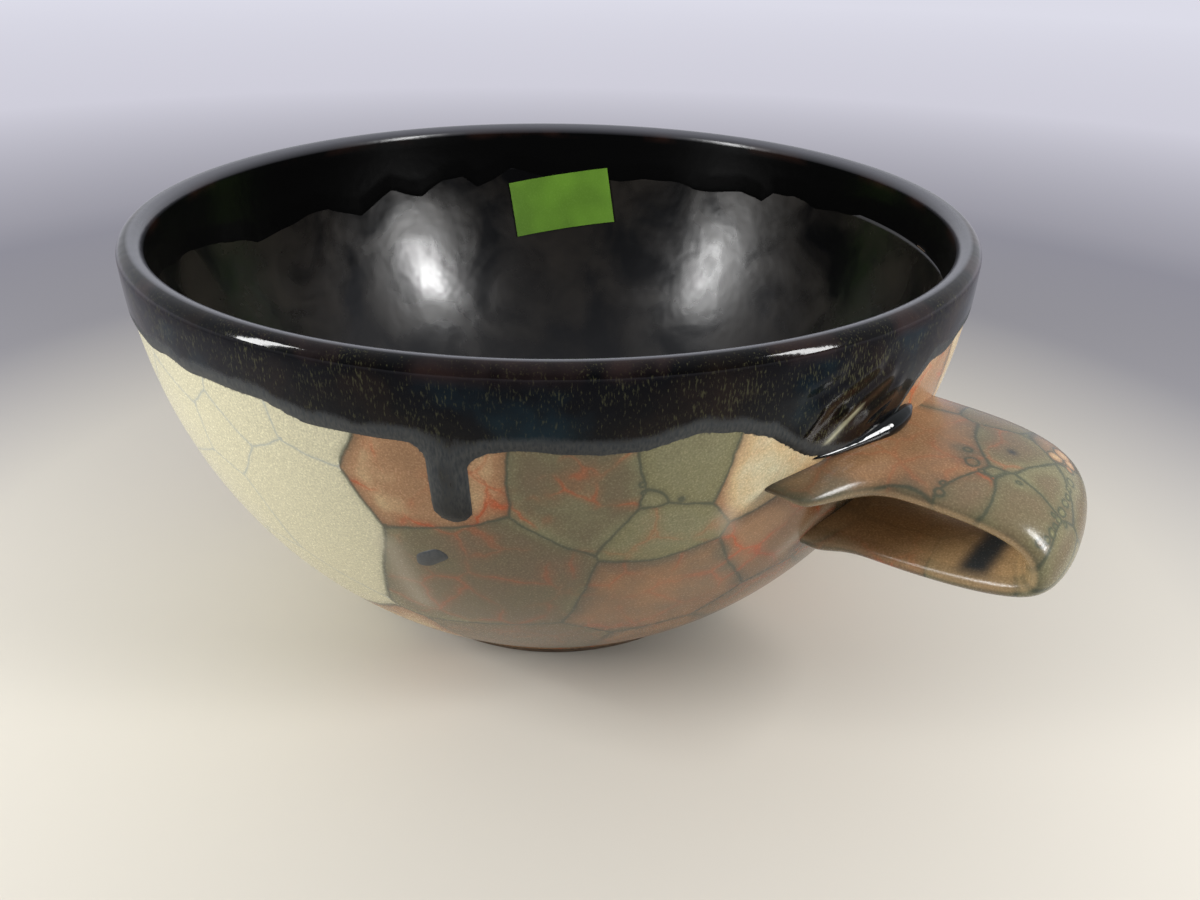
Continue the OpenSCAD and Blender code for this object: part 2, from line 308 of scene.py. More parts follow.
band_edge_inside = [(-180, 60.0), (-177, 61.4), (-170, 60.4), (-159, 59.1), (-150, 62.5),
                    (-140, 64.0), (-127, 65.4), (-110, 63.2), (-90, 61.8), (-70, 64.0),
                    (-50, 62.4), (-30, 61.5), (-10, 63.8), (10, 62.6), (32, 65.6), (44, 66.6),
                    (56, 66.8), (66, 65.9), (77.5, 63.8), (83, 65.3), (87.5, 65.1), (90, 62.3),
                    (95, 63.6), (99, 62.8), (105, 62.5), (110, 63.5), (116, 63.6), (121, 62.7),
                    (132, 62.0), (143.6, 65.2), (146.4, 63.6), (150.7, 61.3), (153.5, 63.9),
                    (157.7, 63.3), (162.3, 60.4), (168.5, 62.5), (173, 59.8), (176, 58.1),
                    (180, 60.0)]
# The long run: its angle, the height of its tip, its radius, depth at its middle and upper end,
# and the width of the hollow curves at its root
run_angle, run_tip_z, run_r, run_depth, run_from_z, run_hollow = -57.0, 52.0, 2.4, 1.6, 67, 3
band_t = 0.4
# A depth that stands for well outside the band
far_out = -9
# The fine waver along an edge: reach, waves round the bowl and phase
wavers = ((0.22, 23, 1.7), (0.14, 41, 0))


def edge_at(edge, angle):
    """Height of a glaze edge at each angle, with a fine waver along it."""
    turns, heights = zip(*edge)
    waver = sum(reach * np.sin(np.radians(angle * waves) + phase)
                for reach, waves, phase in wavers)
    return np.interp(angle, turns, heights) + waver


def above_edge(points):
    """How far each point of the wall lies inside the dark band, in millimetres."""
    angle, r, z, outer = unrolled(points)
    sunk = z - edge_at(band_edge, angle)
    aside = np.radians(angle - run_angle) * outer_r(z)
    top = run_tip_z + run_r
    run = np.minimum(run_r - np.hypot(aside, np.minimum(z - top, 0)), run_depth)
    run = np.where(z < run_from_z, run, far_out)
    # The run leaves the band in two hollow curves.
    blend = np.clip(run_hollow - np.abs(sunk - run), 0, None)
    sunk = np.maximum(sunk, run) + blend ** 2 / (4 * run_hollow)
    return np.where(outer, sunk, z - edge_at(band_edge_inside, angle))


# The band lies over the other coats. How low it is drawn inside and outside, before it is scraped
low_inside, low_outside, lip_steps, band_sides = 55.5, 50, 14, 600
lip = [(lip_r - (lip_round_r + 2 * band_t) * math.cos(math.pi * i / lip_steps),
        lip_z + (lip_round_r + 2 * band_t) * math.sin(math.pi * i / lip_steps))
       for i in range(lip_steps + 1)]
band_inside = [spot for spot in inside(2 * band_t, wall_top, steps=100) if spot[1] > low_inside]
band_outside = outside(2 * band_t, low_outside, wall_top, steps=34)
band = throw("dark_band", band_inside[::-1] + lip + band_outside[::-1], band_sides)
depth = above_edge(points_of(band))
# What lies well outside the edge is scraped away.
scraped = -1.2
bpy.ops.object.mode_set(mode="EDIT")
bpy.ops.mesh.select_all(action="DESELECT")
bpy.ops.object.mode_set(mode="OBJECT")
band.data.vertices.foreach_set("select", depth < scraped)
bpy.ops.object.mode_set(mode="EDIT")
bpy.ops.mesh.select_mode(type="VERT")
bpy.ops.mesh.delete(type="VERT")
bpy.ops.object.mode_set(mode="OBJECT")


def outwards(points):
    """Direction out of the coat at each point of the bowl's wall or lip."""
    angle, r, z, outer = unrolled(points)
    along_r = np.where(outer, r - outer_curve_x, inner_curve_x - r)
    along_z = np.where(outer, z - wall_top, wall_top - z)
    upright = (z >= wall_top) & (z < lip_z)
    along_r = np.where(upright, np.sign(r - lip_r), along_r)
    along_z = np.where(upright, 0, along_z)
    along_r = np.where(z >= lip_z, r - lip_r, along_r)
    along_z = np.where(z >= lip_z, z - lip_z, along_z)
    size = np.hypot(along_r, along_z)
    turn = np.radians(angle)
    return np.stack([along_r * np.cos(turn), along_r * np.sin(turn), along_z], 1) / size[:, None]


# The radius at which the wall is laid out flat, to measure across a ridge
flat_r = 73


def ridge(points, start, end, width, height):
    """A smeared ridge on the wall between two (angle, height) places."""
    angle, r, z, outer = unrolled(points)
    spot = np.stack([np.radians(angle) * flat_r, z], 1)
    a, b = [np.array([math.radians(t) * flat_r, z]) for t, z in (start, end)]
    share = np.clip(((spot - a) @ (b - a)) / ((b - a) @ (b - a)), 0, 1)
    gap = np.linalg.norm(spot - a - share[:, None] * (b - a), axis=1)
    return np.where(outer, height * np.exp(-(gap / width) ** 2), 0)


def note(piece, name, values, domain="POINT"):
    """Writes a value for every point or face of a piece, which its glaze reads."""
    kind = "FLOAT" if values.ndim == 1 else "FLOAT_VECTOR"
    layer = piece.data.attributes.new(name, kind, domain)
    layer.data.foreach_set("value" if values.ndim == 1 else "vector", values.ravel())


# Ridges left by the smeared clay above the handle: start, end, width and height
smears = [((-19.0, 66.5), (-11.5, 70.2), 1.7, 0.45), ((-14.6, 64.6), (-8.8, 68.0), 1.4, 0.50),
          ((-21.0, 69.4), (-17.0, 71.2), 1.5, 0.30), ((-11.0, 62.6), (-7.0, 65.0), 1.6, 0.45),
          ((-20.8, 61.8), (-18.4, 65.4), 1.5, 0.30)]
points = points_of(band)
depth = above_edge(points)
# The edge is round and blunt outside, and feathered out over the liner. It starts a little before
# the edge line, and dips into the coat below so that it closes.
blunt, feathered, edge_lead, edge_dip, edge_curve = 1.5, 4.5, 0.35, 0.35, 0.6
edge_run = np.where(unrolled(points)[3], blunt, feathered)
rise = np.clip((depth + edge_lead) / edge_run, 0, 1) ** edge_curve
thick = band_t * (rise * (1 + edge_dip) - edge_dip) - band_t
smears_from = 0.5
smeared = sum(ridge(points, *smear) for smear in smears) * (depth > smears_from)
thick = np.minimum(thick, 0) + smeared
note(band, "depth", np.clip(depth, -2, 12) * mm)
# The colours of the outer side start just inside the lip's crown, and are full a little past it.
crown_lead, crown_w = 0.5, 1.5
note(band, "outer_side", np.clip((unrolled(points)[1] - lip_r + crown_lead) / crown_w, 0, 1))
# A streak of the pale glaze shows through beside the crease.
note(band, "pale_streak", ridge(points, (-17.9, 58.0), (-12.8, 64.4), 0.42, 1.0))
# Beside it, and along the shoulder under the lip, the black is crowded with crystals.
shoulder_z, shoulder_w, shoulder_share = 71.5, 1.6, 0.45
note(band, "crowded", ridge(points, (-21.5, 59.5), (-14.5, 62.5), 2.6, 1.0)
     + ridge(points, (-32.0, 68.0), (-10.0, 70.0), 4.0, 0.5)
     + shoulder_share * np.exp(-((points[:, 2] - shoulder_z) / shoulder_w) ** 2))
settle(band, points + outwards(points) * thick[:, None])
bpy.ops.object.modifier_add(type="SOLIDIFY")
band_skin = 0.25
band.modifiers["Solidify"].thickness = band_skin * mm
band.modifiers["Solidify"].offset = -1
bpy.ops.object.modifier_apply(modifier="Solidify")
bpy.ops.object.shade_smooth()

# Gloss black glaze: a sharp, wet shine over a black that is never quite even.
band_black, tree, shader, place = finish("gloss_black_glaze", IOR=1.5)
depth = node(tree, "Attribute", {}, out="Fac", attribute_name="depth")
streak = node(tree, "Attribute", {}, out="Fac", attribute_name="pale_streak")
crowded = node(tree, "Attribute", {}, out="Fac", attribute_name="crowded")
# Teal and brown clouds about 15 mm across in the black, outside only
drift = node(tree, "TexNoise", {"Vector": place, "Scale": 1 / (15 * mm), "Detail": 4})
body = node(tree, "ValToRGB", {0: drift}, stops=[(0.34, "#1a120c"), (0.45, "#060505"),
                                                (0.54, "#05070a"), (0.68, "#0d2027")])
outer = node(tree, "Attribute", {}, out="Fac", attribute_name="outer_side")
body = node(tree, "Mix", {0: outer, 6: linear("#060606"), 7: body}, out=2, data_type="RGBA")
# Outside, olive crystals 0.2 mm wide and 0.8 mm long hang down the wall.
hung = node(tree, "Mapping", {"Vector": place, "Scale": (1, 1, 0.3)})
needles = node(tree, "TexNoise", {"Vector": hung, "Scale": 1 / (0.26 * mm), "Detail": 2})
thinner = node(tree, "TexNoise", {"Vector": place, "Scale": 1 / (6 * mm), "Detail": 3})
shown = node(tree, "Math", {0: thinner, 1: 0.28, 2: needles}, operation="MULTIPLY_ADD")
shown = node(tree, "Math", {0: crowded, 1: 0.09, 2: shown}, operation="MULTIPLY_ADD")
crystal = node(tree, "MapRange", {"Value": shown, "From Min": 0.735, "From Max": 0.88,
                                  "To Max": 0.42})
crystal = node(tree, "Math", {0: crystal, 1: outer}, operation="MULTIPLY")
body = node(tree, "Mix", {0: crystal, 6: body, 7: linear("#57563a")}, out=2, data_type="RGBA")
# Iron breaks brown in places on the lip, where the glaze is thin.
height = node(tree, "SeparateXYZ", {0: place}, out="Z")
at_lip = node(tree, "MapRange", {"Value": height, "From Min": 72.5 * mm, "From Max": 74.2 * mm})
broken = node(tree, "Math", {0: at_lip, 1: node(tree, "MapRange", {
    "Value": drift, "From Min": 0.5, "From Max": 0.62, "To Max": 0.7})}, operation="MULTIPLY")
body = node(tree, "Mix", {0: broken, 6: body, 7: linear("#2c1a14")}, out=2, data_type="RGBA")
# Painted reflection: the lip's crown and inner side are painted a satin grey, the pale room
# mirrored there.
crown_sheen = node(tree, "MapRange", {"Value": height, "From Min": 73.9 * mm, "From Max": 75.4 * mm})
crown_sheen = node(tree, "Math", {0: crown_sheen, 1: node(tree, "MapRange", {
    "Value": outer, "From Min": 0.62, "From Max": 0.2})}, operation="MULTIPLY")
body = node(tree, "Mix", {0: crown_sheen, 6: body, 7: linear("#525258")}, out=2, data_type="RGBA")
tree.links.new(node(tree, "MapRange", {"Value": crown_sheen, "To Min": 0.2, "To Max": 0.75}),
               shader.inputs["Specular IOR Level"])
body = node(tree, "Mix", {0: streak, 6: body, 7: linear("#a3a184")}, out=2, data_type="RGBA")
# The lowest 2 mm outside is matte and slate grey, with short fibres at its edges.
fibre = node(tree, "Mapping", {"Vector": place, "Scale": (1, 1, 0.25)})
fibre = node(tree, "TexNoise", {"Vector": fibre, "Scale": 1 / (0.3 * mm), "Detail": 2})
wave = node(tree, "TexNoise", {"Vector": place, "Scale": 1 / (4 * mm), "Detail": 1})
frayed = node(tree, "Math", {0: fibre, 1: 1.1 * mm, 2: depth}, operation="MULTIPLY_ADD")
frayed = node(tree, "Math", {0: wave, 1: 1.6 * mm, 2: frayed}, operation="MULTIPLY_ADD")
margin = node(tree, "MapRange", {"Value": frayed, "From Min": 3.9 * mm, "From Max": 2.9 * mm,
                                 "To Max": outer})
slate = node(tree, "ValToRGB", {0: fibre}, stops=[(0.3, "#2f3336"), (0.72, "#4b4c49")])
tree.links.new(node(tree, "Mix", {0: margin, 6: body, 7: slate}, out=2, data_type="RGBA"),
               shader.inputs["Base Color"])
satin = node(tree, "MapRange", {"Value": outer, "To Min": 0.22, "To Max": 0.09})
satin = node(tree, "Mix", {0: crown_sheen, 2: satin, 3: 0.24})
tree.links.new(node(tree, "Mix", {0: margin, 2: satin, 3: 0.5}), shader.inputs["Roughness"])
lumps = node(tree, "TexNoise", {"Vector": place, "Scale": 1 / (2.6 * mm), "Detail": 2})
tree.links.new(node(tree, "Bump", {"Height": lumps, "Strength": 0.5, "Distance": 0.08 * mm}),
               shader.inputs["Normal"])
dress(band, band_black)
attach(band, "root")
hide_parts("rim_glaze")

# The outer coat is a tan glaze over a white one. As it boiled and settled it drew into large
# cells like soap bubbles, with dark lines between them and rust veins inside them.
coat_t, coat_bed, coat_top, coat_low, coat_sides = 0.4, 0.03, 69.5, 5.2, 470
coat_face = outside(coat_t, coat_low, coat_top, steps=70)
# The lower edge rounds in to the wall just over the foot.
edge_r, edge_z = coat_face[0][0], 4.45
rounded = [(edge_r - 0.35, edge_z), (edge_r - 0.1, edge_z + 0.15)]
coat_back = outside(coat_bed, edge_z + 0.15, coat_top, steps=12)
body = throw("bubble_coat", rounded + coat_face + coat_back[::-1] + rounded[:1], coat_sides)

# Cells seen in the photograph: angle, height, how far the cell swells, its tint from 0, cream,
# through peach, orange, tan, brown and olive to 1, and how strongly rust veins cross it
cream, peach, orange, tan, brown, olive = 0, 0.15, 0.3, 0.45, 0.6, 0.8
front_cells = [
    (-59, 58, 2.5, 0.26, 1.2), (-44, 57.5, 1.5, 0.68, 0.75), (-35.7, 55.8, -4.5, 0.85, 0),
    (-32, 60.5, 0, 0.88, 0), (-24, 58.5, 0.5, 0.1, 0.1), (-34, 49.5, -0.5, 0.88, 0.35),
    (-55, 41, 5.5, 0.62, 0.5), (-32, 35, 4, 0.44, 0.5), (-17.5, 44, 3, 0.38, 1.0),
    (-50, 17, 1, 0.55, 0.2), (-28, 14, 1, 0.42, 0.3), (-12, 24, 1, 0.45, 0.5),
    (-77, 48, 4.5, cream, 0), (-86.5, 56.5, 0, cream, 0), (-82, 63, -1, cream, 0),
    (-72.5, 65.5, -2, cream, 0), (-95.5, 57.5, 0, cream, 0), (-93, 66, 0, cream, 0),
    (-89.5, 44, 1, cream, 0), (-90, 27, 2, cream, 0), (-99, 35, 1, cream, 0),
    (-78, 13, 0, 0.2, 0.2), (4, 62, 0, 0.28, 0.9), (15, 62, 1, 0.1, 0.4),
    (-4, 50, 0, 0.62, 0.3), (-2, 36, 1, 0.5, 0.5)]


def on_wall(angle, z):
    """The place of a cell on the outer coat."""
    r = float(outer_r(np.array([z]))[0]) + coat_t
    return (r * math.cos(math.radians(angle)), r * math.sin(math.radians(angle)), z)


cells = [(*on_wall(*cell[:2]), *cell[2:]) for cell in front_cells]
# The sides and the back that the photograph doesn't show carry the same kind of cells, and the
# cream patch at the front's left runs on round that side.
dealer = random.Random(23)
tries, lowest, highest, cell_gap = 3000, 6, 68, 16
front_from, front_to, front_low, pale_from, pale_to = -100, -8, 10, -150, -90
for _ in range(tries):
    angle, z = dealer.uniform(-180, 180), dealer.uniform(lowest, highest)
    spot = on_wall(angle, z)
    swell = dealer.uniform(-2.5, 3)
    if front_from < angle < front_to and z > front_low:
        continue
    if min(math.dist(spot, cell[:3]) for cell in cells) > cell_gap + swell:
        pale = pale_from < angle < pale_to
        cells.append((*spot, swell, cream if pale else dealer.choice(
            [peach, orange, tan, brown, brown, 0.66, 0.7, olive, olive, 0.9]),
            0 if pale else dealer.uniform(0.2, 1)))
# A few bubbles stay small and round between the cells: place, radius and tint.
bubbles = [(*on_wall(-37.6, 58.6), 0.45, olive), (*on_wall(-37.4, 57.2), 0.35, olive),
           (*on_wall(-33.0, 55.4), 0.4, olive), (*on_wall(140, 40), 1.1, olive)]


def lay_cells(piece, cells, bubbles):
    """Notes on every face its three nearest cells and nearest bubble, for the glaze to draw."""
    middles = np.empty(len(piece.data.polygons) * 3)
    piece.data.polygons.foreach_get("center", middles)
    middles = middles.reshape(-1, 3) / mm
    table = np.array(cells)
    gaps = np.stack([np.linalg.norm(middles - cell[:3], axis=1) - cell[3] for cell in table], 1)
    nearest = np.argsort(gaps, axis=1)[:, :3]
    for slot, name in enumerate(("first_cell", "second_cell", "third_cell")):
        note(piece, name, table[nearest[:, slot], :3] * mm, "FACE")
    note(piece, "cell_swells", table[nearest, 3] * mm, "FACE")
    note(piece, "cell_tints", table[nearest, 4], "FACE")
    note(piece, "cell_veins", table[nearest, 5], "FACE")
    pales = (table[nearest[:, :2], 4] < 0.05).sum(1)
    # Between two cream cells the line is a hair, and round the cream it is widest.
    note(piece, "line_width", np.array([0.30, 0.42, 0.17])[pales] * mm, "FACE")
    note(piece, "line_strength", np.array([0.8, 0.82, 0.58])[pales], "FACE")
    table = np.array(bubbles)
    rims = np.stack([np.linalg.norm(middles - spot[:3], axis=1) - spot[3] for spot in table], 1)
    nearest = rims.argmin(1)
    note(piece, "bubble", table[nearest, :3] * mm, "FACE")
    note(piece, "bubble_size", table[nearest, 3] * mm, "FACE")
    note(piece, "bubble_tint", table[nearest, 4], "FACE")


lay_cells(body, cells, bubbles)
points = points_of(body)
note(body, "depth", np.clip(above_edge(points), far_out, 3) * mm)
# Painted shade in dark slate fills the crease round the handle's lower end, with a milky smear
# beside it.
note(body, "pooled", ridge(points, (-12.5, 37.0), (-4.0, 45.5), 1.5, 0.6))
note(body, "milky", ridge(points, (-15.5, 38.0), (-9.5, 47.0), 1.8, 0.5)
     + ridge(points, (-65.8, 45.0), (-65.0, 31.0), 2.4, 0.36)
     + ridge(points, (-27.3, 51.0), (-26.5, 48.0), 1.7, 0.35))

# Satin bubble glaze: a dry, sandy sheen over cells of tan, olive and cream.
bubble_glaze, tree, shader, place = finish("satin_bubble_glaze", IOR=1.5, Specular_IOR_Level=0.3)
# The lines waver by up to 0.6 mm over 6 mm, and by a hair over 1 mm.
stirred = place
for pitch, reach in ((6, 1.2), (1.1, 0.3)):
    stir = node(tree, "TexNoise", {"Vector": place, "Scale": 1 / (pitch * mm), "Detail": 1}, out=1)
    stir = node(tree, "VectorMath", {0: stir, 1: (0.5, 0.5, 0.5)}, operation="SUBTRACT")
    stir = node(tree, "VectorMath", {0: stir, "Scale": reach * mm}, operation="SCALE")
    stirred = node(tree, "VectorMath", {0: stirred, 1: stir}, operation="ADD")
swells = node(tree, "Attribute", {}, out="Vector", attribute_name="cell_swells")
tints = node(tree, "Attribute", {}, out="Vector", attribute_name="cell_tints")
veined = node(tree, "Attribute", {}, out="Vector", attribute_name="cell_veins")
gaps, shades, rusts = [], [], []
for axis, name in zip("XYZ", ("first_cell", "second_cell", "third_cell")):
    middle = node(tree, "Attribute", {}, out="Vector", attribute_name=name)
    gap = node(tree, "VectorMath", {0: stirred, 1: middle}, out="Value", operation="DISTANCE")
    gaps.append(node(tree, "Math", {0: gap, 1: node(tree, "SeparateXYZ", {0: swells}, out=axis)},
                     operation="SUBTRACT"))
    shades.append(node(tree, "SeparateXYZ", {0: tints}, out=axis))
    rusts.append(node(tree, "SeparateXYZ", {0: veined}, out=axis))
near = node(tree, "Math", {0: gaps[0], 1: gaps[1]}, operation="MINIMUM")
far = node(tree, "Math", {0: gaps[0], 1: gaps[1]}, operation="MAXIMUM")
other = node(tree, "Math", {0: far, 1: gaps[2]}, operation="MINIMUM")
nearest = node(tree, "Math", {0: near, 1: gaps[2]}, operation="MINIMUM")
next_near = node(tree, "Math", {0: near, 1: gaps[2]}, operation="MAXIMUM")
next_near = node(tree, "Math", {0: next_near, 1: other}, operation="MINIMUM")
inset = node(tree, "Math", {0: next_near, 1: nearest}, operation="SUBTRACT")
inset = node(tree, "Math", {0: inset, 1: 0.5}, operation="MULTIPLY")
pick = node(tree, "Math", {0: gaps[1], 1: gaps[0]}, operation="LESS_THAN")
tint = node(tree, "Mix", {0: pick, 2: shades[0], 3: shades[1]})
rust = node(tree, "Mix", {0: pick, 2: rusts[0], 3: rusts[1]})
pick = node(tree, "Math", {0: gaps[2], 1: near}, operation="LESS_THAN")
tint = node(tree, "Mix", {0: pick, 2: tint, 3: shades[2]})
rust = node(tree, "Mix", {0: pick, 2: rust, 3: rusts[2]})
# The round bubbles lie over the cells, each inside a line of its own.
bubble = node(tree, "Attribute", {}, out="Vector", attribute_name="bubble")
rim = node(tree, "VectorMath", {0: stirred, 1: bubble}, out="Value", operation="DISTANCE")
rim = node(tree, "Math", {0: rim, 1: node(tree, "Attribute", {}, out="Fac",
                                         attribute_name="bubble_size")}, operation="SUBTRACT")
beyond = node(tree, "Math", {0: rim, 1: 0.0}, operation="GREATER_THAN")
inset = node(tree, "Mix", {0: beyond, 2: node(tree, "Math", {0: rim, 1: -1.0},
                                              operation="MULTIPLY"),
                           3: node(tree, "Math", {0: inset, 1: rim}, operation="MINIMUM")})
tint = node(tree, "Mix", {0: beyond, 2: node(tree, "Attribute", {}, out="Fac",
                                             attribute_name="bubble_tint"), 3: tint})
tinted = node(tree, "MapRange", {"Value": tint, "From Min": 0.02, "From Max": 0.1})
# Clouds of 8 mm shift the tint inside each cell.
clouds = node(tree, "TexNoise", {"Vector": place, "Scale": 1 / (8 * mm), "Detail": 4})
cloudy = node(tree, "MapRange", {"Value": clouds, "From Min": 0.3, "From Max": 0.7,
                                 "To Min": -0.09, "To Max": 0.09})
cloudy = node(tree, "Math", {0: cloudy, 1: tinted, 2: tint}, operation="MULTIPLY_ADD")
# Towards its line each cell turns olive.
edging = node(tree, "MapRange", {"Value": inset, "From Min": 2.4 * mm, "From Max": 0.3 * mm,
                                 "To Max": 0.13})
cloudy = node(tree, "Math", {0: edging, 1: tinted, 2: cloudy}, operation="MULTIPLY_ADD")
skin = node(tree, "ValToRGB", {0: cloudy}, stops=[
    (0, "#cec8a7"), (0.13, "#ccb387"), (0.27, "#a67f5b"), (0.4, "#93704f"), (0.55, "#75644d"),
    (0.7, "#71674d"), (0.85, "#84805f"), (1, "#807b58")])
# Rust veins: the walls of smaller cells, 8 mm across, sharp in the middle and glowing outwards
stir = node(tree, "TexNoise", {"Vector": place, "Scale": 1 / (2.5 * mm), "Detail": 2}, out=1)
stir = node(tree, "VectorMath", {0: stir, "Scale": 1.8 * mm}, operation="SCALE")
stir = node(tree, "VectorMath", {0: place, 1: stir}, operation="ADD")
walls = node(tree, "TexVoronoi", {"Vector": stir, "Scale": 1 / (8 * mm)},
             feature="DISTANCE_TO_EDGE")
core = node(tree, "MapRange", {"Value": walls, "From Min": 0.05, "From Max": 0.0, "To Max": 0.6},
            interpolation_type="SMOOTHSTEP")
glow = node(tree, "MapRange", {"Value": walls, "From Min": 0.2, "From Max": 0.0, "To Max": 0.34},
            interpolation_type="SMOOTHSTEP")
veins = node(tree, "Math", {0: core, 1: glow}, operation="ADD")
patchy = node(tree, "TexNoise", {"Vector": place, "Scale": 1 / (9 * mm), "Detail": 2})
patchy = node(tree, "MapRange", {"Value": patchy, "From Min": 0.37, "From Max": 0.57})
veins = node(tree, "Math", {0: veins, 1: patchy}, operation="MULTIPLY")
veins = node(tree, "Math", {0: veins, 1: rust}, operation="MULTIPLY")
skin = node(tree, "Mix", {0: veins, 6: skin, 7: linear("#b25c36")}, out=2, data_type="RGBA")
# Along the strap's edges and inside its loop the glaze is thin and sandy, and paler as painted
# light:
# a painted highlight on the narrow edges, and painted light inside the shaded loop.
thin = node(tree, "Attribute", {}, out="Fac", attribute_name="thin")
skin = node(tree, "Mix", {0: thin, 6: skin, 7: linear("#bd9c70")}, out=2, data_type="RGBA")
# Sandy grain of 0.3 mm
grain = node(tree, "TexNoise", {"Vector": place, "Scale": 1 / (0.28 * mm), "Detail": 2})
sand = node(tree, "MapRange", {"Value": grain, "From Min": 0.3, "From Max": 0.7,
                               "To Min": 0.8, "To Max": 1.2})
skin = node(tree, "VectorMath", {0: skin, 1: node(tree, "CombineXYZ", {0: sand, 1: sand,
                                                                      2: sand})},
            operation="MULTIPLY")
# The dark lines between the cells are soft, with a faint shade on both sides.
width = node(tree, "Attribute", {}, out="Fac", attribute_name="line_width")
strength = node(tree, "Attribute", {}, out="Fac", attribute_name="line_strength")
line = node(tree, "Math", {0: inset, 1: width}, operation="DIVIDE")
shade = node(tree, "MapRange", {"Value": line, "From Min": 3.4, "From Max": 0.4, "To Max": 0.3},
             interpolation_type="SMOOTHSTEP")
line = node(tree, "MapRange", {"Value": line, "From Min": 1.5, "From Max": 0.1},
            interpolation_type="SMOOTHSTEP")
line = node(tree, "Math", {0: line, 1: shade}, operation="MAXIMUM")
line = node(tree, "Math", {0: line, 1: strength}, operation="MULTIPLY")
uncovered = node(tree, "Math", {0: 1.0, 1: thin}, operation="SUBTRACT")
line = node(tree, "Math", {0: line, 1: uncovered}, operation="MULTIPLY")
dark = node(tree, "MapRange", {"Value": strength, "From Min": 0.6, "From Max": 0.75})
line_tint = node(tree, "Mix", {0: dark, 6: linear("#939c9c"), 7: linear("#454a3c")}, out=2,
                 data_type="RGBA")
skin = node(tree, "Mix", {0: line, 6: skin, 7: line_tint}, out=2, data_type="RGBA")
# Milky smears go on, then dark slate marks, which are partly painted shade in the creases by the
# handle.
for name, colour in (("milky", "#c3baa4"), ("pooled", "#33383a")):
    smear = node(tree, "Attribute", {}, out="Fac", attribute_name=name)
    skin = node(tree, "Mix", {0: smear, 6: skin, 7: linear(colour)}, out=2, data_type="RGBA")
# Fibres of the dark band reach out over this coat.
depth = node(tree, "Attribute", {}, out="Fac", attribute_name="depth")
fibre = node(tree, "Mapping", {"Vector": place, "Scale": (1, 1, 0.25)})
fibre = node(tree, "TexNoise", {"Vector": fibre, "Scale": 1 / (0.35 * mm), "Detail": 1})
frayed = node(tree, "Math", {0: fibre, 1: 1.0 * mm, 2: depth}, operation="MULTIPLY_ADD")
frayed = node(tree, "MapRange", {"Value": frayed, "From Min": 0.25 * mm, "From Max": 0.6 * mm})
skin = node(tree, "Mix", {0: frayed, 6: skin, 7: linear("#4c4a42")}, out=2, data_type="RGBA")
tree.links.new(skin, shader.inputs["Base Color"])
tree.links.new(node(tree, "MapRange", {"Value": grain, "From Min": 0.3, "From Max": 0.7,
                                       "To Min": 0.16, "To Max": 0.3}),
               shader.inputs["Roughness"])
tree.links.new(node(tree, "Bump", {"Height": grain, "Strength": 0.25, "Distance": 0.03 * mm}),
               shader.inputs["Normal"])
dress(body, bubble_glaze)
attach(body, "root")
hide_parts("body_glaze")


# The handle is a strap pulled from a lump of clay, looped over and pressed on at both ends. The
# same bubble glaze covers it, with smaller cells, and runs thin along its edges, with painted
# light.
def pull(name, rings, **notes):
    """Draws a ring of points out step by step, settles each on its outline, and notes values."""
    sides = len(rings[0])
    bpy.ops.object.select_all(action="DESELECT")
    bpy.ops.mesh.primitive_circle_add(vertices=sides, radius=mm, fill_type="NGON")
    piece = bpy.context.object
    piece.name = name
    bpy.ops.object.mode_set(mode="EDIT")
    for _ in rings[1:]:
        bpy.ops.mesh.extrude_region_move(TRANSFORM_OT_translate={"value": (0, 0, mm)})
    bpy.ops.object.mode_set(mode="OBJECT")
    drawn = points_of(piece)
    step = np.round(drawn[:, 2]).astype(int)
    turn = np.round(np.arctan2(drawn[:, 1], drawn[:, 0]) / (2 * math.pi / sides)).astype(int)
    settle(piece, np.array(rings)[step, turn % sides])
    for title, values in notes.items():
        note(piece, title, values[step, turn % sides])
    bpy.ops.object.mode_set(mode="EDIT")
    bpy.ops.mesh.select_all(action="SELECT")
    bpy.ops.mesh.normals_make_consistent(inside=False)
    bpy.ops.object.mode_set(mode="OBJECT")
    bpy.ops.object.shade_smooth()
    return piece


# The nose and the two roots, each as a distance from the axis and a height
nose = np.array([96.5, 46.6])
upper_root, lower_root = [np.array([float(outer_r(np.array([height]))[0]), height])
                          for height in (54.2, 39.0)]
# How far each root sits to the side, and the strap's thickness and its widths
upper_side, lower_side = -1.8, 2.0
strap_t, strap_w, nose_w, lower_strap_w = 6.1, 30.0, 25.0, 26.5
# How much the strap spreads at its roots and in its tail, and how far its nose is twisted
root_spread, tail_spread = 2.2, 7.5
nose_turn = math.radians(9)
# The strap's middle line is two curves that meet in the nose. Each bends as far as its two pulls
# say, as shares of the loop's reach or height.
strap_reach = nose[0] - upper_root[0]
loop_h = upper_root[1] - lower_root[1]
upper_pull, rising_pull, falling_pull, lower_pull = 0.51, 0.53, 0.31, 0.35
upper_path = np.array([upper_root, upper_root + [upper_pull * strap_reach, 0],
                       nose + [0, rising_pull * loop_h], nose])
lower_path = np.array([nose, nose - [0, falling_pull * loop_h],
                       lower_root + [lower_pull * strap_reach, 0], lower_root])
# How square the strap's section is, and the steps along each half and on into the wall
squareness, half_steps, wall_steps, wall_run = 0.95, 160, 40, 40
spread_fade = 0.7 * strap_t
# The clay was smeared out at the near side: a thin tail above, a toe below.
smear_fade, tail_reach, tail_point, toe_reach, toe_point = 2.6, 3.6, 9, 0.6, 4
# How far the strap's ends stop short of the bare wall
end_gap = 0.15


